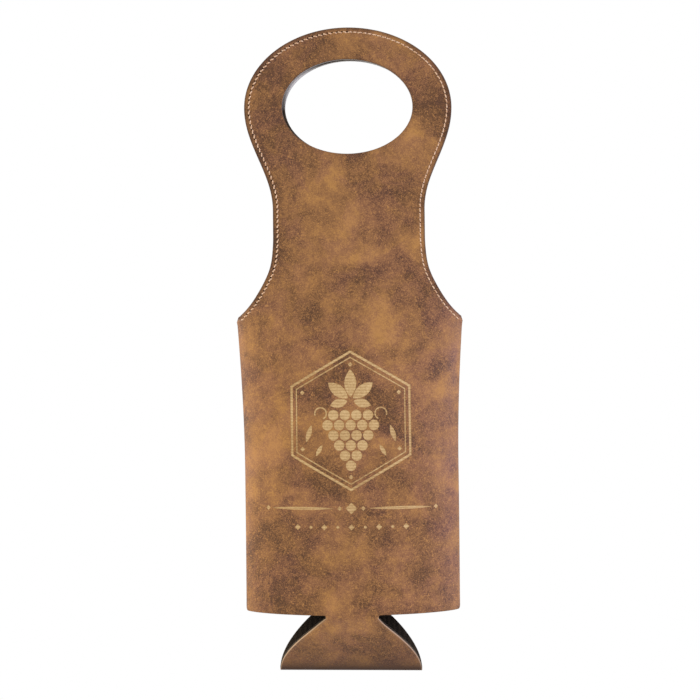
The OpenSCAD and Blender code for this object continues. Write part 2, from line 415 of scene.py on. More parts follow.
# %% Cut the grid and the lines between the pieces
grid, fine_from, fine_to, fine_grid, last_lines = 2.5, 60, 74, 1.0, (74.5, 75.5, 76.5)
least_gap, snap = 0.2, 0.08
side_top_h, split_low, split_high, split_ease = 200.0, 11.2, 8.9, 20.0
tab, past_middle = 12.5, 45


def split_u(h):
    """Length from the middle at which the side fold's own piece starts, at one height."""
    want = -(split_high + (split_low - split_high) * ease((side_top_h - h) / split_ease))
    length, stations = section(h)
    return float(np.interp(want, stations[1], SHARE * length))


def cut(bm, point, normal, faces=None):
    """One straight cut through all faces, or through some."""
    faces = bm.faces[:] if faces is None else faces
    geom = faces + list(dict.fromkeys(part for f in faces for part in (*f.edges, *f.verts)))
    bmesh.ops.bisect_plane(bm, geom=geom, dist=snap, plane_co=(*point, 0), plane_no=(*normal, 0))


def cut_grid(bm, u_places, v_places):
    """Straight cuts through all faces, along and across the blank."""
    for u in u_places:
        cut(bm, (u, 0), (1, 0))
    for v in v_places:
        cut(bm, (0, v), (0, 1))


def whole(bm):
    """Everything in a mesh, as most operators want it."""
    return bm.verts[:] + bm.edges[:] + bm.faces[:]


u_lines = [*np.arange(grid, fine_from, grid), *np.arange(fine_from, fine_to, fine_grid), *last_lines]
bends = [-t for t in np.linspace(run[0], run[0] + run[1], 7)]
bends += [-TO_FOLD + t for t in np.linspace(0.4, run[3] + 1.6, 8)]
v_lines = sorted(set(np.arange(-45, panel_h, grid).round(3)) | {round(v, 3) for v in bends} | {-tab, 0.0})
v_lines = [v for k, v in enumerate(v_lines) if k == 0 or v - v_lines[k - 1] > least_gap]
cut_grid(bm, u_lines, v_lines)
levels = [v for v in v_lines if 0 <= v <= side_top_h]
rows_of = {}
for f in bm.faces:
    m = f.calc_center_median()
    if 0 < m.y < side_top_h and m.x > past_middle:
        rows_of.setdefault(int(np.searchsorted(levels, m.y)), []).append(f)
for k, (h0, h1) in enumerate(zip(levels, levels[1:]), 1):
    a, b = split_u(h0), split_u(h1)
    cut(bm, (a, h0), (h1 - h0, a - b), [f for f in rows_of.get(k, []) if f.is_valid])
bmesh.ops.mirror(bm, geom=whole(bm), axis="X", merge_dist=1e-4)
bmesh.ops.translate(bm, vec=(0, TO_FOLD, 0), verts=bm.verts)
bmesh.ops.mirror(bm, geom=whole(bm), axis="Y", merge_dist=1e-4)
bmesh.ops.translate(bm, vec=(0, -TO_FOLD, 0), verts=bm.verts)
bmesh.ops.recalc_face_normals(bm, faces=bm.faces)
if sum(f.normal.z for f in bm.faces) < 0:
    bmesh.ops.reverse_faces(bm, faces=bm.faces)
blank = bm
print("the flat blank has", len(blank.faces), "faces and measures",
      round(sum(f.calc_area() for f in blank.faces) / 100), "square centimetres")

# %% [markdown]
# ## From the blank to solid pieces
# Each piece is cut out of the flat blank, gets its thickness with solidify while it is still flat, and is
# then bent by moving every point with on_sheet. Neighbouring pieces keep the same points along their common
# line, so no gap opens there. The edges are rounded by letting the outside sink towards the cut, and
# the stitching pulls a shallow groove.
#
# At the back crease no joint holds the base to the back sheet, and the real sheet bends there in one piece.
# So that no slit opens when the base turns, its leather runs on under the edge of the back sheet as a short
# flap, and leather and lining are thinned there on the inside, as a maker skives leather.
#
# A bent piece is shaded from the true curve: custom normals are taken from on_sheet, so the light runs over
# the line between two pieces as it does over one sheet. Close to a rounded edge they are left to Blender.

# %% Cut a piece out, thicken it and bend it
SPLIT = np.array([split_u(h) for h in np.arange(0, side_top_h + 1)])
# Radius of the outside at a sewn edge, a side fold, a raw cut and the hand hole.
leather_round, lining_round = (0.5, 0.45, 0.3, 0.45), (0.5, 0.5, 0.5, 0.5)
least_edge, skin = 0.15, 0.01
groove_at, groove_deep, groove_wide, groove_start = 3.0, 0.24, 0.6, 4
outer, inner_face, wall, floor_face = 0, 1, 2, 3
flap_rows, flap_under, flap_t, flap_mid = (0.02, 0.45, 0.9, 1.35), 0.2, 0.35, 0.5
pivot_in, pivot_drop, skived_t, skived_off, skived_past = 2.59, 0.3, 0.06, 0.6, 1.5
calm_edge, calm_sewn, sharp_from = 1.3, 5.2, math.radians(38)
# How strong each mark is, and how far it reaches in mm. The darkening is partly wear and dye along the sewn
# edge
# and partly painted shade: painted shade at the hand hole, the centre fold and down the slanting base.
sewn_band, sewn_dye_and_shade, side_darkening, hole_shade = (0.55, 2.6), (0.6, 0.4), (0.9, 0.45), (0.6, 0.6)
raw_edge_darkening, fold_core, fold_shade, base_shade = (0.4, 0.8), (0.2, 6), (0.8, 10), 0.25
pale_reach, pale_fade, pale_from = 0.25, 0.6, 0.8
# A painted highlight on the lining at the hand hole: where round the hole, how wide, how far in, in mm.
highlight_clock, highlight_spread, highlight_reach = 152, 20, 2.6


def piece_at(u, v):
    """The name of the piece that a place of the blank belongs to."""
    back, h = v < -TO_FOLD, height_of(v)
    if h < 0:
        return "tab" if not back and h > -tab else "base"
    if h < side_top_h and abs(u) > np.interp(h, np.arange(len(SPLIT)), SPLIT):
        return "sides"
    return "back" if back else "front"


blank.faces.ensure_lookup_table()
names = blank.faces.layers.string.new("piece")
for f in blank.faces:
    m = f.calc_center_median()
    f[names] = piece_at(m.x, m.y).encode()


def away_from(path, u, h):
    """Distance from places of the blank to a row of points."""
    best = np.full(len(u), 1e9)
    for (ax, ay), (bx, by) in zip(path[:-1], path[1:]):
        dx, dy = bx - ax, by - ay
        k = np.clip(((u - ax) * dx + (h - ay) * dy) / (dx * dx + dy * dy), 0, 1)
        best = np.minimum(best, (u - ax - k * dx) ** 2 + (h - ay - k * dy) ** 2)
    return np.sqrt(best)


def rounding(away, radius):
    """How far the outside sinks towards an edge."""
    return np.where(away < radius, radius - np.sqrt(np.maximum(0, radius**2 - (radius - away) ** 2)), 0)


def add_flap(bm):
    """Lets the base's back end run on, just under the sleeve's edge, on the arc that it turns on."""
    end = [f for f in bm.faces if f.normal.y < -0.9 and f.calc_center_median().y < -2 * TO_FOLD + skin]
    for up in flap_rows:
        moved = bmesh.ops.extrude_face_region(bm, geom=end)["geom"]
        bmesh.ops.delete(bm, geom=end, context="FACES")
        end = [g for g in moved if isinstance(g, bmesh.types.BMFace)]
        for v in [g for g in moved if isinstance(g, bmesh.types.BMVert)]:
            reach = pivot_in - float(crease_bow(v.co.x))
            rise = up * reach / pivot_in
            top = flap_under + reach - math.sqrt(reach**2 - (rise + pivot_drop) ** 2)
            v.co.y = -2 * TO_FOLD - rise
            v.co.z = -top if v.co.z > -flap_mid else -top - flap_t
        bm.normal_update()


def thicken(bm, top, bottom):
    """Makes flat faces a solid, its outside top mm and its inside bottom mm below the blank."""
    bmesh.ops.solidify(bm, geom=bm.faces[:], thickness=bottom - top)
    half = sum(v.co.z for v in bm.verts) / len(bm.verts)
    for v in bm.verts:
        v.co.z = -top if v.co.z > half else -bottom
    bmesh.ops.recalc_face_normals(bm, faces=bm.faces)


def slab(piece, top, bottom):
    """A piece cut from the blank and thickened."""
    bm = blank.copy()
    tag = bm.faces.layers.string["piece"]
    bmesh.ops.delete(bm, geom=[f for f in bm.faces if f[tag] != piece.encode()], context="FACES")
    thicken(bm, top, bottom)
    if piece == "base" and top == 0:
        add_flap(bm)
    return bm


def mesh_from(name, bm):
    """A mesh made from a bmesh, which is freed."""
    mesh = bpy.data.meshes.new(name)
    bm.to_mesh(mesh)
    bm.free()
    return mesh


def put_in_scene(name, data):
    """An object with that name and data."""
    obj = bpy.data.objects.new(name, data)
    bpy.context.scene.collection.objects.link(obj)
    return obj


def paint(mesh, name, values):
    """One number for each point, for the materials to read."""
    mesh.attributes.new(name, "FLOAT", "POINT").data.foreach_set("value", values.astype(np.float32))


def paint_wear(mesh, u, h, sewn, side, raw, hole):
    """Where the leather is darker from wear and painted shade, where its cut edge is pale, and where a
    painted highlight lightens the lining.
    """
    fades = lambda away, wear: wear[0] * np.exp(-away / wear[1])
    fold, down = abs(h + TO_FOLD), np.clip(-h / TO_FOLD, 0, 1)
    # Darker along the sewn edge (dye, wear and painted shade where it rounds over), the side folds, the hand
    # hole (painted shade) and the sleeve's bottom edge.
    worn = sewn_band[0] * np.clip(1 - sewn / sewn_band[1], 0, 1) + fades(sewn, sewn_dye_and_shade)
    worn = worn + fades(side, side_darkening) + fades(hole, hole_shade) + np.where(h >= 0, fades(raw, raw_edge_darkening), 0)
    # Painted shade: darker towards the centre fold and down the slanting base.
    worn = worn + fold_core[0] * bell(fold, fold_core[1]) + fades(fold, fold_shade) + base_shade * down
    paint(mesh, "worn", np.clip(worn, 0, 1))
    pale = np.exp(-raw / pale_reach) * (1 - pale_fade * down**2)
    paint(mesh, "pale", np.where(h < -pale_from, pale, 0))
    # A painted highlight: the lining is made pale at one place round the hand hole, as if lit there.
    clock = np.degrees(np.arctan2(h - ring_h, u))
    paint(mesh, "bare", bell(clock - highlight_clock, highlight_spread) * np.clip(highlight_reach - hole, 0, 1))


def bend_piece(name, mesh, materials, leather):
    """Bends a flat solid into the bag and sets its edges, materials, normals and wear."""
    flat_co = np.zeros(len(mesh.vertices) * 3)
    mesh.vertices.foreach_get("co", flat_co)
    u, v, z = flat_co.reshape(-1, 3).T
    depth, h = -z, height_of(v)
    lines = WALK[: SEWN_END + 1], WALK[SEWN_END : SIDE_END + 1], WALK[SIDE_END:], HOLE
    sewn, side, raw, hole = edges = [away_from(line, abs(u), h) for line in lines]
    up = np.array([p.normal.z for p in mesh.polygons])
    low, high = (np.array([end(depth[i] for i in p.vertices) for p in mesh.polygons]) for end in (min, max))
    top, bottom, flat_depth = depth.min(), depth.max(), depth
    kind = np.where(up > 0.5, outer, np.where(up < -0.5, inner_face, wall))
    carved = (kind == outer) & (low > top + 2 * skin) | (kind == wall) & (high < bottom - 0.2)
    carved &= name == "front_leather"
    kind = np.where(carved & (kind == outer), floor_face, kind)
    sink = sum(rounding(away, r) for away, r in zip(edges, leather_round if leather else lining_round))
    if leather:
        groove = groove_deep * bell(sewn - groove_at, groove_wide) * ease((h - shoulder_h) / groove_start)
        depth = np.where(depth < top + skin, depth + np.minimum(sink, leather_t - least_edge) + groove, depth)
    else:
        depth = np.where(depth > bottom - skin, depth - sink, depth)
    crease = np.clip(1 - abs(v + 2 * TO_FOLD) / grid, 0, 1) * (abs(u) < waist + skived_past)
    room = {"back_leather": leather_t - skived_t, "back_lining": skived_off}
    room["base_lining"] = skived_off + crease_bow(u)
    depth = np.where(flat_depth > bottom - skin, depth - room.get(name, 0) * crease, depth)
    mesh.vertices.foreach_set("co", (on_sheet(u, v, depth) * MM).ravel())
    true = outward(u, v, flat_depth)
    calm = (np.minimum.reduce(edges) > calm_edge) & ((sewn > calm_sewn) | (not leather))
    calm &= (h <= 0) | (not name.startswith("base"))
    loops = np.zeros(len(mesh.loops), int)
    mesh.loops.foreach_get("vertex_index", loops)
    given = np.zeros((len(loops), 3))
    true = true * calm[:, None]
    for p in mesh.polygons:
        if kind[p.index] != wall:
            part = slice(p.loop_start, p.loop_start + p.loop_total)
            given[part] = true[loops[part]] * (-1 if kind[p.index] == inner_face else 1)
    mesh.polygons.foreach_set("use_smooth", [True] * len(mesh.polygons))
    mesh.update()
    mesh.set_sharp_from_angle(angle=sharp_from)
    mesh.normals_split_custom_set(given)
    for m in materials:
        mesh.materials.append(m)
    if leather:
        skin_edge_back_engraving = np.array([0, 2, 1, 3])
        slot = np.where(carved, 3, skin_edge_back_engraving[kind])
    else:
        middle_h = np.array([np.mean(h[list(p.vertices)]) for p in mesh.polygons])
        slot = np.where((kind == wall) & (middle_h > 0), 1, 0)
    mesh.polygons.foreach_set("material_index", slot.astype(int))
    paint_wear(mesh, u, h, sewn, side, raw, hole)
    return put_in_scene(name, mesh)


def flat_measure(mesh, strips):
    """Width, length and area of a flat piece, in metres, before it is bent. Strips are laid side by side."""
    co = np.array([v.co for v in mesh.vertices])
    if strips > 1:
        co = co[(co[:, 0] > 0) & (co[:, 1] > -TO_FOLD)]
    size = co.max(0) - co.min(0)
    area = sum(p.area for p in mesh.polygons if p.normal.z > 0.5)
    return (float(size[0]) * MM * strips, float(size[1]) * MM), float(area) * MM**2


pieces = [f[names].decode() for f in blank.faces]
print("faces of the blank in each piece:", {piece: pieces.count(piece) for piece in sorted(set(pieces))})

# %% [markdown]
# ## Materials
# Colours are written as the eye reads them on a screen, in sRGB, and turned to linear light by one
# function. One other function adds a node with its settings and its links, so that a material reads as a
# list of its nodes, from the pattern to the surface.

# %% Helpers for colours and nodes
def linear(code):
    """An sRGB hex colour as linear RGBA."""
    parts = [int(code[k : k + 2], 16) / 255 for k in (1, 3, 5)]
    return (*[c / 12.92 if c <= 0.04045 else ((c + 0.055) / 1.055) ** 2.4 for c in parts], 1)


def socket_of(sockets, key=None):
    """The first enabled socket, or the one with that name or identifier, written without spaces."""
    plain = lambda text: text.replace(" ", "").replace("_", "")
    enabled = [s for s in sockets if s.enabled]
    return next(s for s in enabled if key is None or plain(key) in (plain(s.name), plain(s.identifier)))


def add_node(tree, kind, settings=None, **inputs):
    """Adds a node. An input is a value, a node, or (node, output). A ramp's stops are (place, hex)."""
    node = tree.nodes.new("ShaderNode" + kind)
    for key, value in (settings or {}).items():
        if key == "stops":
            for k, (place, code) in enumerate(value):
                stop = node.color_ramp.elements[k] if k < 2 else node.color_ramp.elements.new(place)
                stop.position, stop.color = place, linear(code)
        else:
            setattr(node, key, value)
    for key, value in inputs.items():
        source = value if isinstance(value, tuple) else (value,)
        if isinstance(source[0], bpy.types.Node):
            tree.links.new(socket_of(source[0].outputs, *source[1:]), socket_of(node.inputs, key))
        else:
            socket_of(node.inputs, key).default_value = value
    return node


def new_material(name):
    """An empty material, what adds a node to it, and the object's own coordinates in it."""
    material = bpy.data.materials.new(name)
    material.use_nodes = True
    material.node_tree.nodes.clear()
    add = partial(add_node, material.node_tree)
    return material, add, (add("TexCoord"), "Object")


def per_mm(size):
    """The noise scale whose features measure about that many millimetres."""
    return 1 / (size * MM)


TIMES, WEIGH = {"operation": "MULTIPLY"}, {"operation": "MULTIPLY_ADD"}
BLEND = {"data_type": "RGBA"}

# %% [markdown]
# ### Leatherette
# The outside is a waxed leatherette: a polyurethane skin on a knitted backing. It is printed in clouds of
# lighter and darker brown, embossed with a grain of about a millimetre, and waxed, which gives the soft
# sheen. Clouds of 36 mm, patches of 13 mm and the grain are three noises that read Object coordinates, so
# that they keep their size over every bend. The grain gives light specks, which are stronger where the
# brown is dark. Two rows of browns, a golden and a rosy one, are blended by a fourth noise of 21 mm; the rosy
# browns are partly the coat's own tone and partly a painted sheen. Two Mapping nodes shift the noises, so
# that light and dark lie much as on the real carrier, and the darker clouds on the handle's ring and on the
# base are partly painted shade. The edge under the stitching is darker, partly from dye and handling and
# partly from painted shade where it rounds over. Painted shade also darkens the centre fold and the base.

# %% Leatherette
leatherette, add, place = new_material("waxed_leatherette")
# The shifts put darker clouds on the handle's ring and on the base, so these clouds hold painted shade as
# well as the coat's print.
cloud_spot = add("Mapping", Vector=place, Location=(-0.7613, -0.3766, 0.8407))
patch_spot = add("Mapping", Vector=place, Location=(-0.848, -0.573, 0.324))
cloud = add("TexNoise", Vector=cloud_spot, Scale=per_mm(36), Detail=4.0, Roughness=0.55, Distortion=0.6)
patch = add("TexNoise", Vector=patch_spot, Scale=per_mm(13), Detail=5.0, Roughness=0.6, Distortion=0.3)
grain = add("TexNoise", Vector=place, Scale=per_mm(1.15), Detail=2.5, Roughness=0.6, Distortion=1.8)
bloom = add("TexNoise", Vector=patch_spot, Scale=per_mm(21), Detail=3.0, Roughness=0.6, Distortion=0.8)
wrinkle = add("TexVoronoi", {"feature": "DISTANCE_TO_EDGE"}, Vector=place, Scale=per_mm(1.1))
patched = add("Math", TIMES, Value=patch, Value_001=0.36)
broad = add("Math", WEIGH, Value=cloud, Value_001=0.46, Value_002=patched)
strength = add("MapRange", Value=broad, From_Min=0.36, From_Max=0.46, To_Min=1.05, To_Max=0.55)
speck = add("MapRange", Value=grain, From_Min=0.44, From_Max=0.74, To_Min=-0.074, To_Max=0.226)
tone = add("Math", WEIGH, Value=speck, Value_001=strength, Value_002=broad)
golden = [(0.27, "#54351B"), (0.34, "#6F4926"), (0.40, "#855A33"), (0.46, "#97683A"), (0.54, "#B27F42")]
# The rosy browns are partly the coat's own tone and partly a painted sheen, blended in by noise.
rosy = [(0.27, "#563424"), (0.34, "#704730"), (0.40, "#86583B"), (0.46, "#976742"), (0.54, "#B17D49")]
warm = add("ValToRGB", {"stops": golden}, Fac=tone)
rosy_browns = add("ValToRGB", {"stops": rosy}, Fac=tone)
rosy_share = add("MapRange", Value=bloom, From_Min=0.42, From_Max=0.6, To_Min=0.0, To_Max=0.7)
skin_tone = add("Mix", BLEND, Factor_Float=rosy_share, A_Color=warm, B_Color=rosy_browns)
# The mask darkens the coat towards a deep brown: wear and dye along the edges, painted shade at the hand
# hole, the centre fold and the base.
worn = add("Attribute", {"attribute_name": "worn"})
skin_worn_and_shaded = add("Mix", BLEND, Factor_Float=(worn, "Fac"), A_Color=skin_tone, B_Color=linear("#3C2209"))
pale = add("Attribute", {"attribute_name": "pale"})
coat = add("Mix", BLEND, Factor_Float=(pale, "Fac"), A_Color=skin_worn_and_shaded, B_Color=linear("#B0906F"))
rough = add("MapRange", Value=patch, From_Min=0.3, From_Max=0.7, To_Min=0.46, To_Max=0.6)
height = add("Math", WEIGH, Value=wrinkle, Value_001=0.6, Value_002=grain)
bump = add("Bump", Strength=0.5, Distance=0.00025, Height=height)
surface = add(
    "BsdfPrincipled", Base_Color=coat, Roughness=rough, Normal=bump, IOR=1.46, Specular_IOR_Level=0.35,
    Sheen_Weight=0.08, Sheen_Roughness=0.4, Sheen_Tint=linear("#F0C8B0"))
add("OutputMaterial", Surface=surface)
print("nodes in the leatherette:", len(leatherette.node_tree.nodes))

# %% [markdown]
# ### The cut edges, the back of the coat and the engraving
# Where the blank is cut, the layers show: the coat's own edge is dark brown round the handle, and pale on
# the flare of the base, where no dye reached it. The engraving is burnt a sixth of a millimetre into the
# coat by a laser, which scans in close lines and lays a tan layer bare.

# %% Cut edge, backing and engraving
cut_edge, add, place = new_material("leatherette_cut_edge")
speck = add("TexNoise", Vector=place, Scale=per_mm(0.8), Detail=3.0)
dyed = add("ValToRGB", {"stops": [(0.35, "#2E211A"), (0.65, "#4A372B")]}, Fac=speck)
pale = add("Attribute", {"attribute_name": "pale"})
tone = add("Mix", BLEND, Factor_Float=(pale, "Fac"), A_Color=dyed, B_Color=linear("#BFA07C"))
bump = add("Bump", Strength=0.4, Distance=0.0002, Height=speck)
surface = add("BsdfPrincipled", Base_Color=tone, Normal=bump, Roughness=0.75, Specular_IOR_Level=0.3)
add("OutputMaterial", Surface=surface)

backing, add, place = new_material("knitted_backing")
weft = add("TexNoise", Vector=place, Scale=per_mm(1.0), Detail=2.0)
grey = add("ValToRGB", {"stops": [(0.35, "#3A322C"), (0.65, "#55483F")]}, Fac=weft)
surface = add("BsdfPrincipled", Base_Color=grey, Roughness=0.9, Sheen_Weight=0.2)
add("OutputMaterial", Surface=surface)

engraved, add, place = new_material("laser_engraved_leatherette")
char = add("TexNoise", Vector=place, Scale=per_mm(1.1), Detail=4.0, Roughness=0.7)
shade = add("TexNoise", Vector=place, Scale=per_mm(18), Detail=2.0)
scan = add("TexWave", {"bands_direction": "Z"}, Vector=place, Scale=per_mm(5.6), Distortion=1.5, Detail=2.0)
lines = add("Math", TIMES, Value=(scan, "Fac"), Value_001=0.12)
burnt = add("Math", WEIGH, Value=char, Value_001=0.53, Value_002=lines)
burn = add("Math", WEIGH, Value=shade, Value_001=0.35, Value_002=burnt)
tan = add("ValToRGB", {"stops": [(0.36, "#A98455"), (0.5, "#C3A06C"), (0.64, "#D6B682")]}, Fac=burn)
bump = add("Bump", Strength=0.3, Distance=0.0002, Height=burn)
surface = add("BsdfPrincipled", Base_Color=tan, Normal=bump, Roughness=0.72, Specular_IOR_Level=0.3)
add("OutputMaterial", Surface=surface)

# %% [markdown]
# ### Lining, thread and needle holes
# The lining is a black knit over thin foam, soft and dull, with fine ribs. It is painted lighter towards the
# centre fold and down the base, which is painted light, and lighter along its worn edges. A painted highlight
# makes it pale grey at one place of the hand hole. Where it is cut, its foam shows grey. The thread is a
# thick tan polyester, a little glossy, twisted from three strands. The thread of the side seams is plain
# brown.

# %% Lining, foam, threads and needle holes
knit, add, place = new_material("black_knit")
rib = add("TexWave", {"bands_direction": "X"}, Vector=place, Scale=per_mm(10), Distortion=0.6, Detail=1.0)
fuzz = add("TexNoise", Vector=place, Scale=per_mm(1.2), Detail=4.0, Roughness=0.7)
ribs = add("Math", TIMES, Value=(rib, "Fac"), Value_001=0.3)
nap = add("Math", WEIGH, Value=fuzz, Value_001=0.7, Value_002=ribs)
black = add("ValToRGB", {"stops": [(0.3, "#17130E"), (0.7, "#3A3024")]}, Fac=nap)
bare = add("Attribute", {"attribute_name": "bare"})
# The mask lightens the knit: painted light towards the centre fold and down the base, and wear along its
# edges.
worn = add("Attribute", {"attribute_name": "worn"})
lining_worn_and_lit = add("Mix", BLEND, Factor_Float=(worn, "Fac"), A_Color=black, B_Color=linear("#554B3C"))
# The pale grey mixed in here is a painted highlight.
inside = add("Mix", BLEND, Factor_Float=(bare, "Fac"), A_Color=lining_worn_and_lit, B_Color=linear("#D0CCC7"))
bump = add("Bump", Strength=0.6, Distance=0.0003, Height=nap)
surface = add(
    "BsdfPrincipled", Base_Color=inside, Normal=bump, Roughness=0.92, Specular_IOR_Level=0.2,
    Sheen_Weight=0.25, Sheen_Roughness=0.6, Sheen_Tint=linear("#8A7A6A"))
add("OutputMaterial", Surface=surface)

foam, add, place = new_material("cut_foam")
cell = add("TexVoronoi", Vector=place, Scale=per_mm(0.7))
pore = add("ValToRGB", {"stops": [(0.1, "#7C7772"), (0.7, "#B4AFA9")]}, Fac=cell)
bump = add("Bump", Strength=0.5, Distance=0.0002, Height=cell)
surface = add("BsdfPrincipled", Base_Color=pore, Normal=bump, Roughness=0.9, Specular_IOR_Level=0.2)
add("OutputMaterial", Surface=surface)

threads = {"tan_polyester_thread": ("#C29266", "#E8C5A0"), "brown_polyester_thread": ("#5A3C28", "#8A6246")}
for name, (dark, light) in threads.items():
    threads[name], add, place = new_material(name)
    ply = add("TexNoise", Vector=place, Scale=per_mm(2.2), Detail=2.0)
    strand = add("TexWave", {"bands_direction": "DIAGONAL"}, Vector=place, Scale=per_mm(3.2))
    strands = add("Math", TIMES, Value=(strand, "Fac"), Value_001=0.4)
    twist = add("Math", WEIGH, Value=ply, Value_001=0.6, Value_002=strands)
    fibre = add("ValToRGB", {"stops": [(0.3, dark), (0.7, light)]}, Fac=twist)
    bump = add("Bump", Strength=0.5, Distance=0.0002, Height=(strand, "Fac"))
    surface = add("BsdfPrincipled", Base_Color=fibre, Normal=bump, Roughness=0.5, Sheen_Weight=0.3)
    add("OutputMaterial", Surface=surface)

# The needle holes' dark brown is painted shade: a flat disc lies where the shade inside a hole would be.
needle, add, place = new_material("needle_hole")
pit_shade_noise = add("TexNoise", Vector=place, Scale=per_mm(0.6))
deep = add("ValToRGB", {"stops": [(0.3, "#24150D"), (0.7, "#3B2417")]}, Fac=pit_shade_noise)
surface = add("BsdfPrincipled", Base_Color=deep, Roughness=0.9, Specular_IOR_Level=0.1)
add("OutputMaterial", Surface=surface)
LEATHER, LINING = [leatherette, cut_edge, backing, engraved], [knit, foam]
print("materials:", len(bpy.data.materials))

# %% [markdown]
# ## The engraved mark
# The front carries a mark burnt by laser, which needs real depth to catch the light at its rims. It is
# drawn flat on the blank from simple shapes: a six-sided frame from a circle and insets, a cluster of
# grapes from circles, a vine leaf from pointed lobes, and tapered rules and diamonds below. Everything is
# cut by the same grid as the blank, so that the floor of the engraving bends with it.

# %% Draw the mark as flat faces
mark = bmesh.new()
frame_r, frame_bands = 43.0, [(1.5, True), (1.9, False), (0.75, True)]
grape_r, grape_gap, grape_drop, cluster_top = 3.25, 7.1, 0.87, 3.5
leaf_y, leaf_open = 12.5, 1.9
lobes = ((0, 17, 7.6), (52, 15.5, 7.2), (-52, 15.5, 7.2), (104, 11, 5.6), (-104, 11, 5.6))
curl_x, curl_y, curl_r, curl_w, curl_start, curl_sweep, curl_steps = 18.5, 4.5, 3.6, 0.9, 1.9, 4.6, 14
sprigs = ((11, 3.2, 27.5, -13, 18), (8, 2.6, 21.5, -21.5, 30))
gem_r, gem_in = 1.5, 8.6
rule_y, rule_from, rule_l, rule_w, rule_gem_r, gem_near, gem_far = -53.5, 10.5, 40, 1.9, 3.6, 7.2, 53.0
dots_down, dot_gap, big_dot, small_dot = 11.5, 8.4, (1.9, 4), (1.0, 12)


def pointed(length, width, x, y, turn, blunt=1.0):
    """A flat oval with pointed ends, its foot at x, y, turned from straight up."""
    made = bmesh.ops.create_circle(mark, segments=16, radius=0.5, cap_ends=True)["verts"]
    for v in made:
        v.co.x *= width * abs(math.cos(math.asin(max(-1, min(1, 2 * v.co.y))))) ** blunt
        v.co.y = (v.co.y + 0.5) * length
    spin_it = Matrix.Translation((x, y, 0)) @ Matrix.Rotation(math.radians(turn), 4, "Z")
    bmesh.ops.transform(mark, matrix=spin_it, verts=made)


def disc(x, y, radius, segments):
    """A flat disc, or a diamond when it has four corners."""
    made = bmesh.ops.create_circle(mark, segments=segments, radius=radius, cap_ends=True)["verts"]
    bmesh.ops.translate(mark, vec=(x, y, 0), verts=made)
    return made


def curl(x, y, start, sweep):
    """A tendril: a short edge spun about a point."""
    ends = [curl_r - curl_w / 2, curl_r + curl_w / 2]
    a, b = (mark.verts.new((x + r * math.cos(start), y + r * math.sin(start), 0)) for r in ends)
    geom = [a, b, mark.edges.new((a, b))]
    bmesh.ops.spin(mark, geom=geom, cent=(x, y, 0), axis=(0, 0, 1), angle=sweep, steps=curl_steps)


middle = list({f for v in disc(0, 0, frame_r, 6) for f in v.link_faces})
dropped = []
for wide, kept in frame_bands:
    band = bmesh.ops.inset_region(mark, faces=middle, thickness=wide, use_boundary=True, use_even_offset=True)
    dropped += [] if kept else band["faces"]
bmesh.ops.delete(mark, geom=dropped + middle, context="FACES")
for row, count in enumerate((4, 5, 4, 3, 2, 1)):
    for k in range(count):
        disc((k - (count - 1) / 2) * grape_gap, cluster_top - row * grape_gap * grape_drop, grape_r, 18)
for turn, length, width in lobes:
    a = math.radians(turn)
    pointed(length, width, -math.sin(a) * leaf_open, leaf_y + math.cos(a) * leaf_open, turn, 0.85)
for side in (1, -1):
    curl(side * curl_x, curl_y, math.pi / 2 - side * curl_start, side * curl_sweep)
    for length, width, x, y, turn in sprigs:
        pointed(length, width, side * x, y, side * turn)
for a in (math.radians(60 * k + 90) for k in range(6)):
    disc(math.cos(a) * (frame_r - gem_in), math.sin(a) * (frame_r - gem_in), gem_r, 4)
disc(0, rule_y, rule_gem_r, 4)
for side in (1, -1):
    disc(side * gem_near, rule_y, gem_r, 4)
    pointed(rule_l, rule_w, side * rule_from, rule_y, -side * 90, 0.5)
    disc(side * gem_far, rule_y, gem_r, 4)
for k in range(-4, 5):
    disc(k * dot_gap, rule_y - dots_down, *(small_dot if k % 2 else big_dot))
print("shapes in the mark:", len(mark.faces))

# %% [markdown]
# The flat shapes become prisms, and a Boolean takes them out of the flat front. Where the prisms end
# inside the leather, their lower faces stay as the floor of the engraving.

# %% Carve the front
mark_h, mark_deep, lift = 119.0, 0.16, 0.5
bmesh.ops.translate(mark, vec=(0, mark_h, 0), verts=mark.verts)
cut_grid(mark, [s * u for u in u_lines for s in (1, -1)] + [0.0], [v for v in v_lines if v < shoulder_h])
bmesh.ops.remove_doubles(mark, verts=mark.verts, dist=0.05)
bmesh.ops.reverse_faces(mark, faces=[f for f in mark.faces if f.normal.z < 0])
thicken(mark, -lift, mark_deep)
plate = put_in_scene("plate", mesh_from("plate", slab("front", 0, leather_t)))
tool = put_in_scene("tool", mesh_from("tool", mark))
carve = plate.modifiers.new("carve", "BOOLEAN")
carve.object, carve.operation, carve.solver = tool, "DIFFERENCE", "EXACT"
bpy.context.view_layer.update()
carved_mesh = bpy.data.meshes.new_from_object(plate.evaluated_get(bpy.context.evaluated_depsgraph_get()))
for o in (plate, tool):
    bpy.data.objects.remove(o)
print("faces of the carved front:", len(carved_mesh.polygons))

# %% [markdown]
# ## The leatherette and the lining
# Five pieces of leatherette and five of lining make the bag. They are one sheet on the real one, and are
# parted here so that each lies between two bodies of the imported model, where the sheet bends: the handles
# at the shoulders, the side folds between front and back, and the base at its crease and its centre fold.

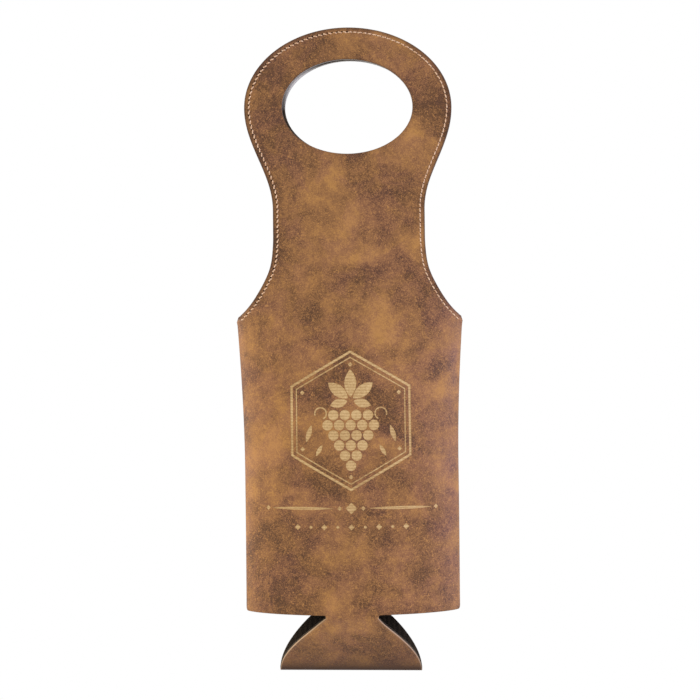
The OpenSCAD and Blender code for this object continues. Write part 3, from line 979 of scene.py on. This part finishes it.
# %% Bend every piece into place
LAYERS = (("leather", 0, leather_t, LEATHER), ("lining", leather_t + 0.03, sheet_t, LINING))
made = {}
for piece in ("front", "back", "sides", "tab", "base"):
    for layer, top, bottom, finish in LAYERS:
        name = piece + "_" + layer
        if name == "front_leather":
            mesh = carved_mesh
            mesh.name = name
        else:
            mesh = mesh_from(name, slab(piece, top, bottom))
        size, area = flat_measure(mesh, 4 if piece == "sides" else 1)
        made[name] = (bend_piece(name, mesh, finish, layer == "leather"), size, area)
        print(name, "faces", len(mesh.polygons), "flat", [round(c, 4) for c in size], "area", round(area, 5))

# %% [markdown]
# ## What moves with what
# Each piece takes the place of parts of the imported model, which are hidden, and its transform is baked
# into its mesh. The table names for each piece the two bodies that it lies between, with two points.

# %% Hide the parts that the pieces replace
BODIES = {
    "front": ("front_sleeve", "front_handle", (0, 0, -0.1135), (0, 0, -0.035)),
    "back": ("back_sleeve", "back_handle", (0, 0, -0.1135), (0, 0, -0.035)),
    "sides": ("front_sleeve", "back_sleeve", (0, -0.008, -0.2), (0, 0.008, -0.2)),
    "tab": ("front_sleeve", "base_front", (0, 0, -0.3135), (0, 0, -0.3185)),
    "base": ("base_front", "base_back", (0, -0.00365, -0.35), (0, 0.00365, -0.35)),
}
REPLACED = {
    "front": ["front_{}_sleeve", "front_{}_handle"], "back": ["back_{}_sleeve", "back_{}_handle"],
    "sides": ["front_{}_sleeve", "back_{}_sleeve"],
    "tab": ["base_front_{}"], "base": ["base_front_{}", "base_back_{}"],
}
for piece, (one, other, start, end) in BODIES.items():
    for layer in ("leather", "lining"):
        obj, size, area = made[piece + "_" + layer]
        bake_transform(obj)
        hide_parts(*[n.format(layer) for n in REPLACED[piece]])
print("sheets tied to two bodies each:", len(made))

# %% [markdown]
# ## The stitching
# A lockstitch shows as a short bow of thread that dives into a needle hole at each end, so a straight
# cylinder would look wrong. One bow is made by spinning a small circle about a centre below the surface, and
# is copied along a row 3 mm from the edge, from one shoulder over the handle to the other. A needle hole is
# a flat dark disc whose dark brown is painted shade, standing for the shade inside the hole. On the left the
# stitches lie slantwise between their holes, on the right nearly in line, as one seam does when its thread
# pulls to one side.

# %% One stitch and one needle hole
thread_r, pitch, bow_r, bow_half, bow_up = 0.42, 3.1, 1.477, math.radians(51), 0.1
stitch = bmesh.new()
ring = bmesh.ops.create_circle(stitch, segments=8, radius=thread_r, cap_ends=True)["verts"]
upright, outwards = Matrix.Rotation(math.pi / 2, 4, "Y"), Matrix.Translation((0, 0, bow_r))
bmesh.ops.transform(stitch, matrix=Matrix.Rotation(-bow_half, 4, "Y") @ outwards @ upright, verts=ring)
bmesh.ops.spin(stitch, geom=whole(stitch), cent=(0, 0, 0), axis=(0, 1, 0), angle=2 * bow_half, steps=5)
bmesh.ops.remove_doubles(stitch, verts=stitch.verts, dist=1e-3)
bmesh.ops.translate(stitch, vec=(0, 0, -bow_r + bow_up), verts=stitch.verts)
bmesh.ops.recalc_face_normals(stitch, faces=stitch.faces)
pit = bmesh.new()
bmesh.ops.create_uvsphere(pit, u_segments=8, v_segments=5, radius=1)
bmesh.ops.scale(pit, vec=(0.5, 0.46, 0.1), verts=pit.verts)
print("faces of one stitch:", len(stitch.faces), "of one needle hole:", len(pit.faces))

# %% [markdown]
# The row is measured along the blank, so that the pitch stays true round the curves. At the shoulder it
# runs on a little, to the side fold. The needle holes lie half a pitch from the stitches, at the bottom of
# the groove, and on the left they are larger and further aside.

# %% Lay the stitches along the row
run_on = 2.2
row = (WALK[:SEWN_END] + WALK_IN[:SEWN_END] * groove_at)[::-1]
row = np.vstack([row[0] + (row[0] - row[1]) / np.linalg.norm(row[0] - row[1]) * run_on, row])
way = np.concatenate([[0], np.cumsum(np.linalg.norm(np.diff(row, axis=0), axis=1))])
count = int(way[-1] / pitch)
print("stitches in half a row:", count, "left over:", round(way[-1] - count * pitch, 2), "mm")
places = []
for at in way[-1] - (np.arange(count) + 0.5) * pitch:
    x, y = np.interp(at, way, row[:, 0]), np.interp(at, way, row[:, 1])
    dx, dy = (np.interp(at + 0.5, way, row[:, k]) - np.interp(at - 0.5, way, row[:, k]) for k in (0, 1))
    places.append((float(x), float(y), math.atan2(dy, dx)))


def smooth_object(name, bm, material):
    """An object from a bmesh, smoothly shaded, with its one material."""
    mesh = mesh_from(name, bm)
    mesh.polygons.foreach_set("use_smooth", [True] * len(mesh.polygons))
    mesh.materials.append(material)
    print(name, "faces", len(mesh.polygons))
    return put_in_scene(name, mesh)


def sew(name, faces, kept, shape, material, in_groove, slant, aside, size):
    """Copies a shape to places of the row, on both sides of each face. Pairs are for left and right."""
    bm, one = bmesh.new(), bpy.data.meshes.new("one")
    shape.to_mesh(one)
    for x, y, turn in kept:
        for face in faces:
            v, flip = (y, 1) if face == "front" else (-2 * TO_FOLD - y, -1)
            for side in (1, -1):
                right = int(side > 0)
                way_on = (turn if right else math.pi - turn) * flip
                move, off = in_groove * pitch / 2, aside[right]
                spot = Matrix.Translation((
                    side * x + math.cos(way_on) * move + side * math.sin(turn) * off,
                    v + math.sin(way_on) * move - math.cos(turn) * off * flip,
                    -groove_deep * bell(off, groove_wide) * in_groove))
                turned = Matrix.Rotation(way_on + slant[right] * flip, 4, "Z")
                first = len(bm.verts)
                bm.from_mesh(one)
                bm.verts.ensure_lookup_table()
                grown = Matrix.Diagonal((size[right], size[right], 1, 1))
                bmesh.ops.transform(bm, matrix=spot @ turned @ grown, verts=bm.verts[first:])
    bpy.data.meshes.remove(one)
    co = np.array([v.co for v in bm.verts])
    for v, lain in zip(bm.verts, on_sheet(co[:, 0], co[:, 1], -co[:, 2]) * MM):
        v.co = lain
    return smooth_object(name, bm, material)


SEWN = {
    "_stitches": (stitch, threads["tan_polyester_thread"], 0, np.radians((-20, 6)), (0, 0), (1, 1)),
    "_needle_holes": (pit, needle, 1, (0, 0), (0.5, 0.15), (1.3, 0.85)),
}
for part, faces in (("front", ["front"]), ("back", ["back"]), ("sides", ["front", "back"])):
    one, other, start, end = BODIES[part]
    kept = [p for p in places if (p[1] < side_top_h) == (part == "sides")]
    nodes = [face + "_edge_stitching" for face in faces]
    for what, look in SEWN.items():
        obj = sew(part + what, faces, kept, *look)
        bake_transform(obj)
        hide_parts(*nodes)

# %% [markdown]
# The side seams are inside the side folds. They show from below and through the open mouth, as a
# row of short brown stitches down each fold, which opens with the sleeve.

# %% Seam threads
seam_count, seam_pitch, seam_l, seam_r, seam_in, seam_round = 44, 4, 2.8, 0.4, 0.9, 0.15
seam = bmesh.new()
for k in range(seam_count):
    low_h = seam_pitch * (k + 0.5)
    for side in (1, -1):
        x = side * (float(side_x(low_h)) - sheet_t - seam_in)
        upright = Matrix.Translation((x, 0, low_h + seam_l / 2 - ring_h))
        bmesh.ops.create_cone(
            seam, cap_ends=True, segments=8, radius1=seam_r, radius2=seam_r, depth=seam_l, matrix=upright)
caps = [e for e in seam.edges if abs(e.verts[0].co.z - e.verts[1].co.z) < 0.01]
bmesh.ops.bevel(seam, geom=caps, offset=seam_round, segments=1, profile=0.5, affect="EDGES", material=-1)
bmesh.ops.scale(seam, vec=(MM, MM, MM), verts=seam.verts)
seam_threads = smooth_object("side_seam_threads", seam, threads["brown_polyester_thread"])
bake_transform(seam_threads)
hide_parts("left_side_seam", "right_side_seam")

# %% [markdown]
# ## The studio
# The carrier hangs in front of plain white, with no shadow on it. A white floor lies well below, so that
# it stays out of the frame, and the world gives an even light. Two large soft lights model the rounding:
# a warmer one from the left and a cooler one from the right.

# %% Floor, lights and camera
studio = bmesh.new()
bmesh.ops.create_circle(studio, segments=64, radius=4.0, cap_ends=True)
bmesh.ops.translate(studio, vec=(0, 0, -1.3), verts=studio.verts)
floor = put_in_scene("floor", mesh_from("floor", studio))
paper, add, place = new_material("white_paper")
fibres = add("TexNoise", Vector=place, Scale=per_mm(4), Detail=3.0)
tone = add("ValToRGB", {"stops": [(0.3, "#DEDEDC"), (0.7, "#E6E6E4")]}, Fac=fibres)
surface = add("BsdfPrincipled", Base_Color=tone, Roughness=0.9, Specular_IOR_Level=0.2)
add("OutputMaterial", Surface=surface)
floor.data.materials.append(paper)

world = bpy.data.worlds.new("white_room")
bpy.context.scene.world = world
world.use_nodes = True
white = world.node_tree.nodes["Background"].inputs
white["Color"].default_value, white["Strength"].default_value = (1, 1, 1, 1), 1.0
bpy.context.scene.view_settings.view_transform = "Standard"
carrier_middle = Vector((0, 0, -0.15))


def soft_light(name, place, size, power, code):
    """A square area light aimed at the middle of the carrier."""
    lamp = bpy.data.lights.new(name, "AREA")
    lamp.size, lamp.energy, lamp.color = size, power, linear(code)[:3]
    obj = put_in_scene(name, lamp)
    obj.location = place
    obj.rotation_euler = (carrier_middle - Vector(place)).to_track_quat("-Z", "Y").to_euler()


soft_light("warm_left", (-1.95, 0.3, 0.35), 1.0, 28.5, "#FFEEDC")
soft_light("cool_right", (1.9, -0.35, 0.1), 1.0, 22.0, "#BFBDFF")

camera = bpy.data.cameras.new("camera")
camera.sensor_width, camera.lens = 36, 78
eye = put_in_scene("camera", camera)
eye.location = (0, -0.95, -0.1513)
eye.rotation_euler = (math.radians(90), math.radians(0.5), 0)
bpy.context.scene.camera = eye
print("lights:", len(bpy.data.lights), "camera with a lens of", camera.lens, "mm")
